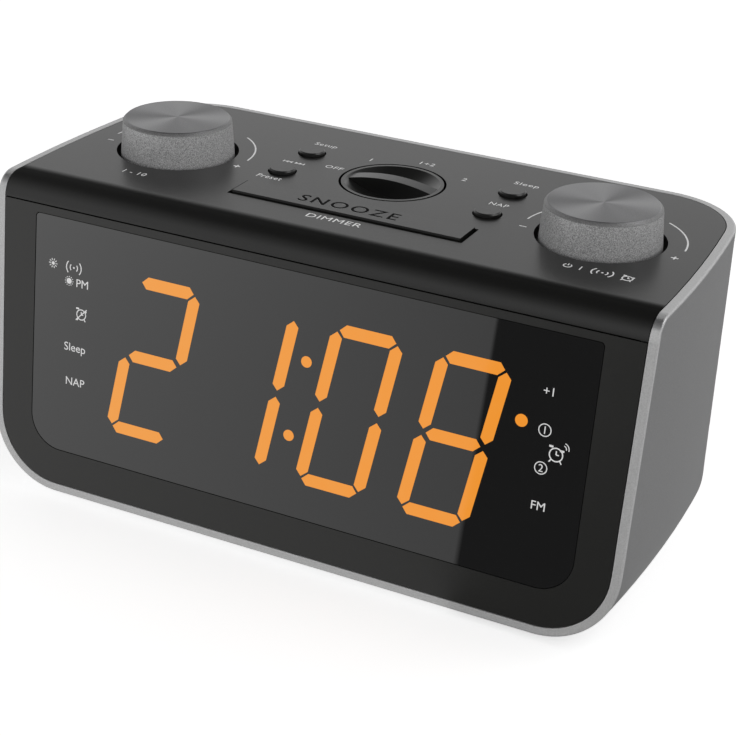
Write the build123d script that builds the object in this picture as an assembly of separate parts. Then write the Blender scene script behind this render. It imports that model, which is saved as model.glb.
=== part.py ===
"""Clock radio: a metal tub with a black front and top, two big knobs, an alarm selector,
four round buttons and a snooze key. Millimetres, +Z up, the front faces -Y.
Origin: centre of the bounding box, on the surface the feet stand on.

Places are given as (x, depth, height): x from the middle, depth behind the front's
bottom edge, height above the tub's underside."""

import os
from math import cos, hypot, radians, sin, sqrt, tan

from build123d import *

os.makedirs("parts", exist_ok=True)

# ---------------------------------------------------------------- driving dimensions
body_width = 190.0          # across the front edges of the tub
body_depth = 97.2
body_height = 89.0          # tub only, without feet and knobs
front_lean = 6.84           # degrees the front leans back
roll_radius = 6.4           # top panel rolling over to the front
side_swell = 0.9            # how far the sides swell outside the front edges
swell_depth = 30.0          # depth of that widest place
rear_narrowing = 1.1        # how far each side draws in at the rear corners
rear_side_depth = 73.0      # depth where the drawing in is measured
rear_corner_radius = 24.0
front_bottom_radius = 21.2  # bottom side corners at the front
rear_bottom_radius = 14.7   # bottom edges at the rear
shell_wall = 2.5
rim_round = 0.7
rest_width = 3.0            # ledge inside the tub that the panel and fascia rest on
rest_thickness = 2.0
foot_height = 1.5

seam = 0.25                 # visible joint between the tub and what closes it
fit_gap = 0.2               # clearance of a part that lies in a pocket
running_gap = 0.05          # radial clearance of a shaft in its bore
move_gap = 0.35             # clearance beside a piece that moves freely

panel_thickness = 2.3
fascia_thickness = panel_thickness
well_floor = 1.5
parting_gap = 0.4           # joint line between top panel and fascia

window_width = body_width - 24.8
window_bottom = 13.1        # along the leaning front, from its bottom edge
window_top = 81.4
window_top_radius = 1.2
window_bottom_radius = 9.8
lens_gap = 0.2
lens_recess = 0.1

digit_pitch = 29.9
digit_middle = 47.1         # along the leaning front
digit_width = 16.8          # between the middles of the upright bars
digit_height = 43.3         # between the middles of the top and bottom bars
digit_slant = 0.158         # sideways lean per unit of height
bar_width = 3.3
bar_gap = 0.45
colon_spacing = 21.4
colon_radius = 1.55
alarm_dot_radius = 1.7
alarm_dot_place = (63.9, 56.7)

knob_x = body_width / 2 - 30.7
knob_depth = 53.6
knob_top_radius = 15.4
knob_base_radius = 16.4
knob_rise = 9.8             # above the panel
knob_bevel = 1.0
knob_skin = 1.2
knob_well_radius = 17.45
knob_well_depth = 4.2
knob_sink = 3.2             # how far the knob's skirt goes down into the well
knob_push = 0.5
shaft_radius = 3.0
shaft_flat = 1.5            # depth of the D-cut's flat

selector_depth = 61.95
selector_radius = 14.3
selector_gap = 0.7
selector_well_depth = 7.5
selector_dish_radius = 13.3
selector_dish_depth = 3.9
fin_width = 4.4
fin_rise = 1.3

button_x = {"left": -30.3, "right": 32.1}
button_depths = {"rear": 71.4, "front": 53.8}
button_radius = 3.75
button_rise = 1.1
button_travel = 0.8
button_flange = 1.0

snooze_width = 69.6         # the slot, outside to outside
snooze_front = 30.9         # depth of the slot's front edge
snooze_back = 42.0          # depth of the seam behind the key
snooze_slot = 1.0
snooze_rise = 0.6           # how far the key stands proud
snooze_travel_deg = 4.5
snooze_play = 0.55          # between the key's plunger and its switch stem
trunnion_radius = 1.2
ear_gap = 0.4               # between the slot's end and the hinge ear
ear_width = 3.0

board_thickness = 1.6
control_board_height = 68.0  # its upper face
control_board_depths = (30.0, 76.0)
control_board_width = body_width - 38.0
main_board_height = 17.6     # its upper face
main_board_x = (-14.0, 60.0)
main_board_depths = (27.0, body_depth - 11.2)

cover_width = body_width - 62.0
cover_heights = (15.0, 72.0)
cover_radius = 6.0
cover_ledge = 2.5
ledge_thickness = 2.0
cover_boss_radius = 3.5
cover_boss_length = 8.0
cover_screw_inset = 5.0

speaker_x = 30.0 - cover_width / 2
speaker_height = 43.0
speaker_radius = 22.5
speaker_depth = 18.0

battery_x = 30.0
battery_height = 49.0
battery_bay = (51.0, 23.4)
battery_bay_depth = 12.4
battery_wall = 1.5
cell_radius = 5.25
cell_length = 44.5
door_thickness = 2.0
door_hinge_radius = 1.2
door_pin_radius = 0.8

jack_x = 40.0
jack_size = (9.0, 14.0, 11.0)
grommet_x = 12.0
grommet_height = 25.0

post_places = [(72.0, 30.0), (66.0, 80.0)]
post_radius = 3.5
boss_radius = 4.2
boss_height = 18.0
screw_radius = 1.4          # clearance class of every screw
thread_radius = screw_radius - 0.35
bore_radius = thread_radius + running_gap
case_screw_web = 4.0        # boss left under a case screw's head
main_board_post_radius = 2.6
board_post_radius = 3.0
head_radius = 2.7
head_height = 1.8
foot_places = [(body_width / 2 - 37.0, 20.0), (body_width / 2 - 37.0, body_depth - 25.2)]
foot_radius = 7.0
foot_sink = 1.0
foot_step = 1.5             # the foot's plug is this much narrower than its pad

# ---------------------------------------------------------------- worked out from them
front_y = -body_depth / 2
lean_tan = tan(radians(front_lean))
lean_cos = cos(radians(front_lean))
lean_sin = sin(radians(front_lean))
front_plane = Plane(
    origin=(0, front_y, foot_height), x_dir=(1, 0, 0), z_dir=(0, -lean_cos, lean_sin)
)
roll_height = body_height - roll_radius
roll_depth = lean_tan * roll_height + roll_radius / lean_cos
parting_height = roll_height + roll_radius * lean_sin
parting_along = parting_height / lean_cos
panel_under = body_height - panel_thickness
cavity_inset = shell_wall + seam
inner_rear = body_depth - shell_wall
side_both = (-1, 1)


def place(x, depth, height):
    """Location of a point given as x, depth behind the front edge and height."""
    return Pos(x, front_y + depth, foot_height + height)


def block(x0, x1, d0, d1, h0, h1):
    """Box between two x, two depths and two heights."""
    centre = place((x0 + x1) / 2, (d0 + d1) / 2, (h0 + h1) / 2)
    return centre * Box(x1 - x0, d1 - d0, h1 - h0)


def post(x, depth, h0, h1, radius):
    """Upright cylinder between two heights."""
    return place(x, depth, (h0 + h1) / 2) * Cylinder(radius, h1 - h0)


def rearward(x, height, d0, d1, radius):
    """Cylinder that points to the rear, between two depths."""
    return place(x, (d0 + d1) / 2, height) * Rot(90, 0, 0) * Cylinder(radius, d1 - d0)


def turned(x, depth, points):
    """Solid of revolution about the upright axis at x, depth; points are (radius, height)."""
    face = make_face(Polyline([(r, h) for r, h in points], close=True))
    solid = revolve(Plane.XZ * face, Axis.Z)
    return place(x, depth, 0) * solid


def both_sides(pieces):
    """Joins a list of shapes into one compound of separate solids."""
    return Compound(children=[s for p in pieces for s in p.solids()])


def save(shape, node):
    solids = shape.solids()
    export_step(solids[0] if len(solids) == 1 else Compound(children=list(solids)), f"parts/{node}.step")


# ---------------------------------------------------------------- the body's envelope
def side_circle(front, middle, rear):
    """Centre x, centre depth and radius of the circle through the side's three places."""
    (x1, y1), (x2, y2), (x3, y3) = front, middle, rear
    d = 2 * (x1 * (y2 - y3) + x2 * (y3 - y1) + x3 * (y1 - y2))
    s1, s2, s3 = x1 * x1 + y1 * y1, x2 * x2 + y2 * y2, x3 * x3 + y3 * y3
    cx = (s1 * (y2 - y3) + s2 * (y3 - y1) + s3 * (y1 - y2)) / d
    cy = (s1 * (x3 - x2) + s2 * (x1 - x3) + s3 * (x2 - x1)) / d
    return cx, cy, hypot(x1 - cx, y1 - cy)


def rounding(radius, rise):
    """How far a bottom rounding of this radius is drawn in at a height above its bottom."""
    if rise >= radius:
        return 0.0
    return radius - sqrt(radius**2 - (radius - rise) ** 2)


def plan_outline(inset, rise, forward=12.0):
    """Outline of the body's level section, inset all round, at a rise above its bottom."""
    front_in = inset + rounding(front_bottom_radius - inset, rise)
    rear_in = inset + rounding(rear_bottom_radius - inset, rise)
    share = swell_depth / rear_side_depth
    middle_in = front_in + (rear_in - front_in) * share
    half = body_width / 2
    cx, cy, radius = side_circle(
        (half - front_in, 0.0),
        (half + side_swell - middle_in, swell_depth),
        (half - rear_narrowing - rear_in, rear_side_depth),
    )
    corner = rear_corner_radius - rear_in
    rear = body_depth - rear_in
    corner_d = rear - corner
    corner_x = cx + sqrt((radius - corner) ** 2 - (corner_d - cy) ** 2)

    def on_side(depth):
        return (cx + sqrt(radius**2 - (depth - cy) ** 2), depth)

    reach = hypot(corner_x - cx, corner_d - cy)
    touch = (
        cx + (corner_x - cx) * radius / reach,
        cy + (corner_d - cy) * radius / reach,
    )
    start = on_side(-forward)
    middle = on_side((touch[1] - forward) / 2)
    turn_x, turn_d = (touch[0] - corner_x) / corner, (touch[1] - corner_d) / corner
    length = hypot(turn_x, turn_d + 1)
    knee = (corner_x + corner * turn_x / length, corner_d + corner * (turn_d + 1) / length)
    end = (corner_x, rear)

    def flip(p):
        return (-p[0], p[1])

    edges = [
        ThreePointArc(start, middle, touch),
        ThreePointArc(touch, knee, end),
        Line(end, flip(end)),
        ThreePointArc(flip(end), flip(knee), flip(touch)),
        ThreePointArc(flip(touch), flip(middle), flip(start)),
        Line(flip(start), start),
    ]
    return make_face(edges)


def envelope(inset, top=body_height + 10.0):
    """The body's outer form, inset all round: upright walls on a rounded bottom."""
    steps = 9
    deep = front_bottom_radius - inset
    rises = [deep * (1 - cos(radians(90 * k / steps))) for k in range(steps + 1)]
    above = 9
    rises += [deep + (top - inset - deep) * k / above for k in range(1, above + 1)]
    return loft([place(0, 0, inset + rise) * plan_outline(inset, rise) for rise in rises])


def front_and_top(offset):
    """All that lies behind the front, roll and top surfaces, offset inwards."""
    radius = roll_radius - offset
    front_start = (roll_depth - radius * lean_cos, roll_height + radius * lean_sin)
    drop = front_start[1] + 12.0
    foot = (front_start[0] - drop * lean_tan, front_start[1] - drop)
    knee_turn = radians((90 + front_lean) / 2)
    knee = (roll_depth - radius * cos(knee_turn), roll_height + radius * sin(knee_turn))
    top_start = (roll_depth, roll_height + radius)
    far = body_depth + 20.0
    edges = [
        Line(foot, front_start),
        ThreePointArc(front_start, knee, top_start),
        Line(top_start, (far, top_start[1])),
        Line((far, top_start[1]), (far, foot[1])),
        Line((far, foot[1]), foot),
    ]
    face = Plane.YZ * make_face(edges)
    return place(-body_width, 0, 0) * extrude(face, amount=2 * body_width)


def above_parting(lift):
    """Everything above the parting plane, which stands square on the leaning front."""
    level = parting_along + lift
    slab = front_plane * Pos(0, level + body_depth, 0) * Box(
        2 * body_width, 2 * body_depth, 4 * roll_radius
    )
    return slab + block(
        -body_width, body_width, roll_depth, 2 * body_depth, body_height - 3 * roll_radius, 2 * body_height
    )


def front_slab(near, far, outline):
    """Plate parallel to the front: an outline in front coordinates between two distances behind it."""
    return front_plane * Pos(0, 0, -far) * extrude(outline, amount=far - near)


# ---------------------------------------------------------------- housing
def outer_shell():
    """Tub with a rounded rim, open at the front and the top."""
    body = envelope(0) & front_and_top(0)
    body = fillet([e for e in body.edges() if on_rim(e)], rim_round)
    ledge = front_and_top(panel_thickness) - front_and_top(panel_thickness + rest_thickness)
    ledge &= envelope(shell_wall - fit_gap) - envelope(shell_wall + rest_width)
    tub = body - envelope(shell_wall) + ledge - cover_opening(cover_ledge / 2)
    return tub.fuse(*shell_bosses()).cut(*shell_holes())


def shell_bosses():
    """Frame behind the rear opening and every boss inside the tub."""
    h0, h1 = cover_heights
    half = cover_width / 2
    frame = block(
        -half - cover_ledge, half + cover_ledge, inner_rear - ledge_thickness, inner_rear + fit_gap,
        h0 - cover_ledge, h1 + cover_ledge,
    )
    frame -= cover_opening()
    start = inner_rear - cover_boss_length
    bosses = [rearward(x, h, start, inner_rear, cover_boss_radius) for x, h in cover_screw_places()]
    bosses += [post(x, d, shell_wall / 2, boss_height, boss_radius) for x, d in case_post_places()]
    seat = main_board_height - board_thickness
    bosses += [post(x, d, shell_wall / 2, seat, main_board_post_radius) for x, d in main_board_posts()]
    return [frame] + bosses


def cover_opening(grow=0.0):
    """What the frame behind the rear cover leaves open, grown sideways."""
    h0, h1 = cover_heights
    edge = cover_ledge - grow
    half = cover_width / 2 - edge
    return block(-half, half, inner_rear - 2 * ledge_thickness, body_depth + 1, h0 + edge, h1 - edge)


def shell_holes():
    """Rear cover's recess, screw holes and the feet's recesses."""
    start = inner_rear - cover_boss_length + 1.0
    holes = [cover_plate(fit_gap, 2.0)]
    holes += [rearward(x, h, start, body_depth, bore_radius) for x, h in cover_screw_places()]
    for x, d in case_post_places():
        holes.append(post(x, d, -1, boss_height + 1, screw_radius + fit_gap))
        holes.append(post(x, d, -1, boss_height - case_screw_web, head_radius + fit_gap))
    for x, d in case_feet():
        holes.append(post(x, d, -1, foot_sink, foot_radius - foot_step + fit_gap))
    for x, d in main_board_posts():
        holes.append(post(x, d, shell_wall, main_board_height, bore_radius))
    return holes


def case_post_places():
    return [(side * x, d) for x, d in post_places for side in side_both]


def case_feet():
    return [(side * x, d) for x, d in foot_places for side in side_both]


def on_rim(edge):
    """True for an edge of the solid body that borders its front, roll or top surface."""
    c = edge @ 0.5
    d, h = c.Y - front_y, c.Z - foot_height
    on_front = abs((d - lean_tan * h) * lean_cos) < 0.02
    on_top = abs(h - body_height) < 0.02
    roll = hypot(d - roll_depth, h - roll_height)
    on_roll = d < roll_depth and h > roll_height and abs(roll - roll_radius) < 0.02
    inside = abs(c.X) < 1 and h > 1.0 and d < body_depth / 2
    return (on_front or on_top or on_roll) and not inside


def cover_screw_places():
    h0, h1 = cover_heights
    x = cover_width / 2 - cover_screw_inset
    return [
        (side * x, h) for side in side_both for h in (h0 + cover_screw_inset, h1 - cover_screw_inset)
    ]


def cover_plate(grow, beyond=0.0):
    """The rear cover's flush plate, grown sideways by a clearance and rearwards by a reach."""
    h0, h1 = cover_heights
    outline = RectangleRounded(cover_width + 2 * grow, h1 - h0 + 2 * grow, cover_radius + grow)
    back = Plane(origin=(0, 0, 0), x_dir=(-1, 0, 0), z_dir=(0, 1, 0))
    plate = extrude(back * outline, amount=shell_wall + beyond)
    return place(0, inner_rear, (h0 + h1) / 2) * plate


def top_panel():
    """Black top with its roll-over, knob wells, button holes and snooze slot."""
    ring = (front_and_top(0) - front_and_top(panel_thickness)) & above_parting(0)
    panel = ring & envelope(cavity_inset)
    return panel.fuse(*panel_bosses()).cut(*panel_holes())


def panel_bosses():
    """Wells, hinge ears and screw posts under the panel."""
    skin = body_height - panel_thickness / 2
    wells = [(side * knob_x, knob_depth, knob_well_depth, knob_well_radius) for side in side_both]
    wells.append((0, selector_depth, selector_well_depth, selector_radius + selector_gap))
    pieces = [
        post(x, d, body_height - deep - well_floor, skin, radius + well_floor)
        for x, d, deep, radius in wells
    ]
    near = snooze_width / 2 + ear_gap
    for side in side_both:
        x0, x1 = sorted((side * near, side * (near + ear_width)))
        pieces.append(block(x0, x1, trunnion_place[0] - 2 * trunnion_radius,
                            trunnion_place[0] + 2 * trunnion_radius,
                            trunnion_place[1] - 1.8 * trunnion_radius, skin))
    pieces += [post(x, d, control_board_height, skin, board_post_radius)
               for x, d in control_board_posts()]
    pieces += [post(x, d, boss_height, skin, post_radius) for x, d in case_post_places()]
    return pieces


def panel_holes():
    """Everything cut from the panel."""
    high = body_height + 1
    holes = []
    for side in side_both:
        x = side * knob_x
        holes.append(post(x, knob_depth, body_height - knob_well_depth, high, knob_well_radius))
        holes.append(post(x, knob_depth, 0, high, shaft_radius + move_gap))
    well = selector_radius + selector_gap
    holes.append(post(0, selector_depth, body_height - selector_well_depth, high, well))
    holes.append(post(0, selector_depth, 0, high, shaft_radius + move_gap))
    for x, d in button_places().values():
        holes.append(post(x, d, 0, high, button_radius + move_gap))
    half = snooze_width / 2
    holes.append(block(-half, half, snooze_front, snooze_back, 0, high))
    holes.append(trunnion_bar(half + ear_gap + ear_width + 1, trunnion_radius + running_gap))
    for x, d in control_board_posts():
        holes.append(post(x, d, control_board_height - 1, control_board_height + 7.0, bore_radius))
    for x, d in case_post_places():
        holes.append(post(x, d, boss_height - 1, boss_height + 10.0, bore_radius))
    return holes


trunnion_place = (snooze_back - 1.4, panel_under - 1.8)  # depth and height of the key's axis


def trunnion_bar(reach, radius):
    """Cylinder along X on the snooze key's axis."""
    centre = place(0, trunnion_place[0], trunnion_place[1])
    return centre * Rot(0, 90, 0) * Cylinder(radius, 2 * reach)


def button_places():
    """Name of each button with its x and depth."""
    rear, front = button_depths["rear"], button_depths["front"]
    return {
        "setup": (button_x["left"], rear),
        "preset": (button_x["left"], front),
        "sleep": (button_x["right"], rear),
        "nap": (button_x["right"], front),
    }


def control_board_posts():
    return [(44.0, 34.5), (42.0, 72.6), (-44.0, 34.5), (-42.0, 72.6), (22.5, 61.0), (-22.5, 61.0)]


def main_board_posts():
    x0, x1 = main_board_x
    d0, d1 = main_board_depths
    inset = 4.0
    return [(x, d) for x in (x0 + inset, x1 - inset) for d in (d0 + inset, d1 - inset)]


def window_outline(shrink):
    """The window in front coordinates: small top corners, large bottom ones."""
    half = window_width / 2 - shrink
    low, high = window_bottom + shrink, window_top - shrink
    face = make_face(Polyline([(-half, low), (half, low), (half, high), (-half, high)], close=True))
    corners = face.vertices()
    bottom = [v for v in corners if v.Y < digit_middle]
    face = fillet(bottom, window_bottom_radius - shrink)
    top = [v for v in face.vertices() if v.Y > high - 0.01]
    return fillet(top, window_top_radius - shrink / 2)


def front_fascia():
    far = 2 * body_width
    outline = Pos(0, parting_along - parting_gap - body_height / 2) * Rectangle(far, body_height)
    slab = front_slab(0, fascia_thickness, outline)
    fascia = slab & envelope(cavity_inset)
    return fascia - front_slab(-1, fascia_thickness + 1, window_outline(0))


def display_lens():
    return front_slab(lens_recess, fascia_thickness, window_outline(lens_gap))


# ---------------------------------------------------------------- display
def bar(length, width):
    """Seven-segment bar along X with pointed ends."""
    half, tip = length / 2, width / 2
    points = [
        (-half, 0), (-half + tip, tip), (half - tip, tip),
        (half, 0), (half - tip, -tip), (-half + tip, -tip),
    ]
    return points


def digit_bars(grow):
    """The seven bars of one digit as lists of points round the digit's middle, slanted."""
    w, h = digit_width, digit_height
    across = w - bar_gap + 2 * grow
    upright = h / 2 - bar_gap + 2 * grow
    width = bar_width + 2 * grow
    flat = [(0, h / 2), (0, 0), (0, -h / 2)]
    tall = [(-w / 2, h / 4), (w / 2, h / 4), (-w / 2, -h / 4), (w / 2, -h / 4)]
    bars = [[(cx + x, cy + y) for x, y in bar(across, width)] for cx, cy in flat]
    bars += [[(cx + y, cy + x) for x, y in bar(upright, width)] for cx, cy in tall]
    return [[(x + digit_slant * y, y) for x, y in points] for points in bars]


def light_shapes(grow):
    """Faces of every bar and dot in front coordinates."""
    faces = []
    for k in range(4):
        middle = (k - 1.5) * digit_pitch + digit_shift
        for points in digit_bars(grow):
            moved = [(x + middle, y + digit_middle) for x, y in points]
            faces.append(make_face(Polyline(moved, close=True)))
    for up in side_both:
        rise = up * colon_spacing / 2
        at = Pos(digit_shift + digit_slant * rise, digit_middle + rise)
        faces.append(at * Circle(colon_radius + grow))
    faces.append(Pos(*alarm_dot_place) * Circle(alarm_dot_radius + grow))
    return faces


digit_shift = 1.5
reflector_depths = (fascia_thickness, fascia_thickness + 7.0)
reflector_margin = 2.4


def display_reflector():
    near, far = reflector_depths
    width = window_width + 2 * reflector_margin
    low = window_bottom - reflector_margin
    high = parting_along - 2 * parting_gap
    outline = Pos(0, (low + high) / 2) * RectangleRounded(width, high - low, window_bottom_radius)
    plate = front_slab(near, far, outline)
    cells = [front_slab(near - 1, far + 1, face) for face in light_shapes(fit_gap)]
    cells += [front_slab(far - 5.0, far + 1, Pos(x, along) * Circle(bore_radius))
              for x, along in display_screw_places()]
    return plate.cut(*cells)


def digit_light_pipes():
    near, far = reflector_depths
    return both_sides([front_slab(near, far - 3.0, face) for face in light_shapes(0)])


def display_board():
    far = reflector_depths[1]
    high = parting_along - 5.0
    low = window_bottom + 2.0
    outline = Pos(0, (low + high) / 2) * Rectangle(window_width - 4.0, high - low)
    board = front_slab(far, far + board_thickness, outline)
    for x, along in display_screw_places():
        board -= front_slab(far - 1, far + 3, Pos(x, along) * Circle(screw_radius + fit_gap))
    return board


def display_leds():
    far = reflector_depths[1]
    chip = 1.8
    return both_sides(
        [front_slab(far - 1.0, far, Pos(f.center().X, f.center().Y) * Rectangle(chip, chip))
         for f in light_shapes(0)]
    )


def display_screw_places():
    reach = window_width / 2 - 6.6
    return [(x, along) for x in (-reach, reach)
            for along in (window_bottom + 9.0, parting_along - 9.0)]


def display_screws():
    far = reflector_depths[1]
    back = far + board_thickness
    screws = []
    for x, along in display_screw_places():
        at = Pos(x, along)
        head = front_slab(back, back + head_height, at * Circle(head_radius))
        screws.append(head + front_slab(far - 4.5, back, at * Circle(thread_radius)))
    return both_sides(screws)


# ---------------------------------------------------------------- knobs
def knob_cap(x):
    """Spun metal skin with a bevelled rim."""
    top = body_height + knob_rise
    low = body_height - knob_sink
    slope = (knob_base_radius - knob_top_radius) / (top - low)
    bevel_low = top - knob_bevel
    profile = [
        (0, top), (knob_top_radius - knob_bevel, top),
        (knob_top_radius + slope * knob_bevel, bevel_low), (knob_base_radius, low),
        (knob_base_radius - knob_skin, low),
        (knob_top_radius - knob_skin, top - knob_skin), (0, top - knob_skin),
    ]
    return turned(x, knob_depth, profile)


def knob_insert(x):
    """Plastic core that grips the skin and the D-shaped shaft."""
    top = body_height + knob_rise - knob_skin
    low = body_height - knob_sink
    hub, skin_inner = 6.0, knob_top_radius - knob_skin
    web = 2.0
    profile = [
        (0, top), (skin_inner - fit_gap / 2, top), (knob_base_radius - knob_skin - fit_gap / 2, low),
        (knob_base_radius - knob_skin - web, low), (skin_inner - web, top - web), (hub, top - web),
        (hub, low), (0, low),
    ]
    core = turned(x, knob_depth, profile)
    return core - knob_shaft_form(x, running_gap / 2, 0.0, shaft_top + 0.1)


shaft_top = body_height + knob_rise - knob_skin - 2.2


def knob_shaft_form(x, grow, low, high):
    """D-shaped upper shaft, grown by a clearance."""
    shaft = post(x, knob_depth, low, high, shaft_radius + grow)
    flat = shaft_radius - shaft_flat + grow
    start = body_height - knob_well_depth + 2.0
    return shaft - block(
        x - 2 * shaft_radius, x + 2 * shaft_radius, knob_depth - 2 * shaft_radius, knob_depth - flat,
        start, high + 1,
    )


encoder_size = 12.4
encoder_height = 7.0
encoder_cavity_radius = 4.3
push_plate_rise = 2.6
push_plate_thickness = 0.7
bushing_radius = 4.2
bushing_height = 6.5


def knob_shaft(x):
    foot = control_board_height + push_plate_rise + push_plate_thickness
    shaft = knob_shaft_form(x, 0.0, foot, shaft_top)
    return shaft + post(x, knob_depth, foot, foot + 1.6, encoder_cavity_radius - move_gap)


def push_plate(x):
    low = control_board_height + push_plate_rise
    return post(x, knob_depth, low, low + push_plate_thickness, encoder_cavity_radius - move_gap)


def encoder_body(x):
    low = control_board_height
    half = encoder_size / 2
    body = block(x - half, x + half, knob_depth - half, knob_depth + half, low, low + encoder_height)
    body += post(x, knob_depth, low + encoder_height, low + encoder_height + bushing_height, bushing_radius)
    body -= post(x, knob_depth, low + 1.4, low + encoder_height - 1.2, encoder_cavity_radius)
    return body - post(x, knob_depth, low + 1.4, body_height, shaft_radius + running_gap)


# ---------------------------------------------------------------- alarm selector
def alarm_selector_knob():
    """Dished disc with a grip fin across it."""
    top = body_height
    low = body_height - selector_well_depth + move_gap + 0.6
    edge = selector_dish_radius
    ball = (edge**2 + selector_dish_depth**2) / (2 * selector_dish_depth)
    disc = post(0, selector_depth, low, top, selector_radius)
    disc -= place(0, selector_depth, top - selector_dish_depth + ball) * Sphere(ball)
    fin_low = top - selector_dish_depth - 0.5
    half = edge - 0.1
    crown = (half**2 + (fin_rise + 0.5) ** 2) / (2 * (fin_rise + 0.5))
    fin = block(-half, half, selector_depth - fin_width / 2, selector_depth + fin_width / 2,
                fin_low, top + fin_rise + 1)
    hump = place(0, selector_depth, top + fin_rise - crown) * Rot(90, 0, 0) * Cylinder(crown, 4 * fin_width)
    fin = fin & hump & post(0, selector_depth, fin_low, top + 3, edge)
    knob = disc + fin
    socket = post(0, selector_depth, 0, selector_shaft_top + 0.1, shaft_radius + running_gap / 2)
    flat = shaft_radius - shaft_flat + running_gap / 2
    socket -= block(-5, 5, selector_depth - 2 * shaft_radius, selector_depth - flat,
                    low - 0.1, selector_shaft_top + 1)
    return knob - socket


selector_shaft_top = body_height - selector_dish_depth - 0.9
rotary_size = 20.0
rotary_height = 7.5
rotary_bushing = 3.0


def alarm_selector_shaft():
    low = control_board_height + 2.0
    shaft = post(0, selector_depth, low, selector_shaft_top, shaft_radius)
    shaft += post(0, selector_depth, low, low + 2.0, 2 * shaft_radius)
    flat = shaft_radius - shaft_flat
    start = body_height - selector_well_depth + move_gap + 0.6
    return shaft - block(-5, 5, selector_depth - 2 * shaft_radius, selector_depth - flat,
                         start, body_height)


def rotary_switch():
    low = control_board_height
    half = rotary_size / 2
    body = block(-half, half, selector_depth - half, selector_depth + half, low, low + rotary_height)
    body += post(0, selector_depth, low + rotary_height, low + rotary_height + rotary_bushing, 5.0)
    body -= post(0, selector_depth, low + 1.6, low + 4.6, 2 * shaft_radius + move_gap)
    return body - post(0, selector_depth, low + 1.6, body_height, shaft_radius + running_gap)


# ---------------------------------------------------------------- buttons
tact_size = 6.2
tact_height = 3.6
stem_radius = 1.7
stem_top = 5.0              # above the control board


def push_button(x, depth):
    """Round cap with a flange below the panel and a plunger down to its switch."""
    top = body_height + button_rise
    flange_top = panel_under
    edge = 0.4
    profile = [
        (0, top), (button_radius - edge, top), (button_radius, top - edge),
        (button_radius, flange_top), (button_radius + button_flange, flange_top),
        (button_radius + button_flange, flange_top - 1.2), (stem_radius, flange_top - 1.2),
        (stem_radius, control_board_height + stem_top), (0, control_board_height + stem_top),
    ]
    return turned(x, depth, profile)


def switch_stem(x, depth):
    low = control_board_height + 1.9
    return post(x, depth, low, control_board_height + stem_top, stem_radius)


def switch_body(x, depth):
    low, half = control_board_height, tact_size / 2
    body = block(x - half, x + half, depth - half, depth + half, low, low + tact_height)
    return body - post(x, depth, low + 0.6, low + tact_height + 1, stem_radius + running_gap)


snooze_switch_depth = 34.2


def snooze_key():
    """Bar that stands proud of the panel, on two trunnions at its back."""
    half = snooze_width / 2 - snooze_slot
    d0, d1 = snooze_front + snooze_slot, snooze_back - 0.15
    top, edge = body_height + snooze_rise, 0.4
    profile = make_face(
        Polyline(
            [(d0, panel_under), (d0, top - edge), (d0 + edge, top), (d1 - edge, top),
             (d1, top - edge), (d1, panel_under)],
            close=True,
        )
    )
    key = place(-half, 0, 0) * extrude(Plane.YZ * profile, amount=2 * half)
    for side in side_both:
        x0, x1 = sorted((side * (half - 4.0), side * (half - 1.0)))
        key += block(x0, x1, trunnion_place[0] - 1.2, d1, trunnion_place[1] - trunnion_radius,
                     panel_under + 0.2)
    bar_reach = snooze_width / 2 + ear_gap + ear_width - 0.2
    axle = trunnion_bar(bar_reach, trunnion_radius)
    key += axle - block(-half + 4.0, half - 4.0, 0, body_depth, 0, body_height)
    end = control_board_height + stem_top + snooze_play
    key += post(0, snooze_switch_depth, end + stem_radius, panel_under + 0.2, stem_radius)
    key += place(0, snooze_switch_depth, end + stem_radius) * Sphere(stem_radius)
    return key


# ---------------------------------------------------------------- boards
def control_board():
    d0, d1 = control_board_depths
    half = control_board_width / 2
    board = block(-half, half, d0, d1, control_board_height - board_thickness, control_board_height)
    holes = [post(x, d, 0, body_height, post_radius + 0.8) for x, d in case_post_places()]
    holes += [post(x, d, 0, body_height, screw_radius + fit_gap) for x, d in control_board_posts()]
    return board.cut(*holes)


def screws_up(places, seat, thread):
    """Screws driven upwards: head below the seat height, thread above it."""
    pieces = []
    for x, d in places:
        screw = post(x, d, seat - head_height, seat, head_radius)
        screw += post(x, d, seat, seat + thread, thread_radius)
        pieces.append(screw)
    return both_sides(pieces)


def main_board():
    x0, x1 = main_board_x
    d0, d1 = main_board_depths
    board = block(x0, x1, d0, d1, main_board_height - board_thickness, main_board_height)
    for x, d in main_board_posts():
        board -= post(x, d, 0, body_height, screw_radius + fit_gap)
    return board


def screws_down(places, seat, thread):
    """Screws driven downwards: head above the seat height, thread below it."""
    pieces = []
    for x, d in places:
        screw = post(x, d, seat, seat + head_height, head_radius)
        screw += post(x, d, seat - thread, seat, thread_radius)
        pieces.append(screw)
    return both_sides(pieces)


def main_board_parts():
    """Capacitors, regulator, chips and connectors on the main board."""
    up, rear = main_board_height, main_board_depths[1]
    pieces = [
        post(28, rear - 10, up, up + 12, 4.0), post(18, rear - 8, up, up + 9, 3.2),
        post(50, rear - 26, up, up + 12, 5.0), block(-8, 6, rear - 26, rear - 16, up, up + 1.6),
        block(30, 42, 40, 52, up, up + 1.6), block(46, 56, 38, 41, up, up + 14),
        block(50, 54, rear - 16, rear - 8, up, up + 5),
    ]
    return both_sides(pieces)


def tuner_shield():
    up = main_board_height
    can = block(0, 24, 36, 54, up, up + 6)
    return can - block(0.5, 23.5, 36.5, 53.5, up - 0.1, up + 5.5)


ribbon_x = (8.0, 28.0)
ribbon_depth = 31.5


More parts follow.
